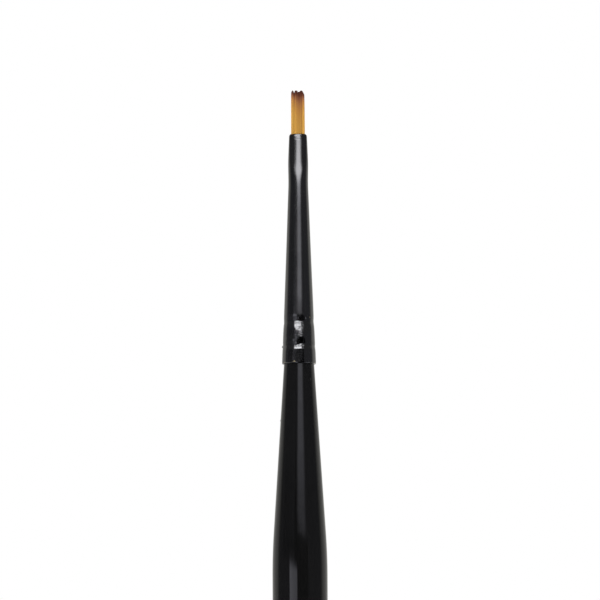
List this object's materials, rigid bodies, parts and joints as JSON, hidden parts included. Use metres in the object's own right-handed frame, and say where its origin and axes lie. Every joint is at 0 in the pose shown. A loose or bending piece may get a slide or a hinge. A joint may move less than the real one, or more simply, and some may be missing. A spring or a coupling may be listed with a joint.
{
  "type": "fine detail brush",
  "caption": "Short-handled fine detail brush: a small flat golden tuft in a black tapered ferrule, crimped onto a gloss black turned handle.",
  "frame": {"origin": "middle of the handle's belly, on the brush's centre line", "axes": "+Z along the centre line towards the tuft, +X along the flat tuft's width"},
  "size_m": [0.0064, 0.0064, 0.18],
  "materials": {
    "bare_wood": "sanded",
    "black_lacquer": "gloss",
    "black_metal": "satin",
    "wood_glue": "matte",
    "epoxy": "gloss",
    "thread": "twisted",
    "golden_filament": "satin"
  },
  "bodies": {
    "brush": {"handle": "bare_wood", "handle_lacquer": "black_lacquer", "ferrule": "black_metal", "tenon_glue": "wood_glue", "epoxy_plug": "epoxy", "root_tie": "thread", "bristle_roots": "golden_filament"},
    "tuft": {"bristle_tuft": "golden_filament"}
  },
  "joints": [
    {"name": "tuft_flex", "type": "hinge", "parent": "brush", "child": "tuft", "pos_m": [0, 0, 0.0581], "axis": [1, 0, 0], "range_deg": [-40, 40], "stiffness_Nm_per_rad": 0.0006}
  ]
}
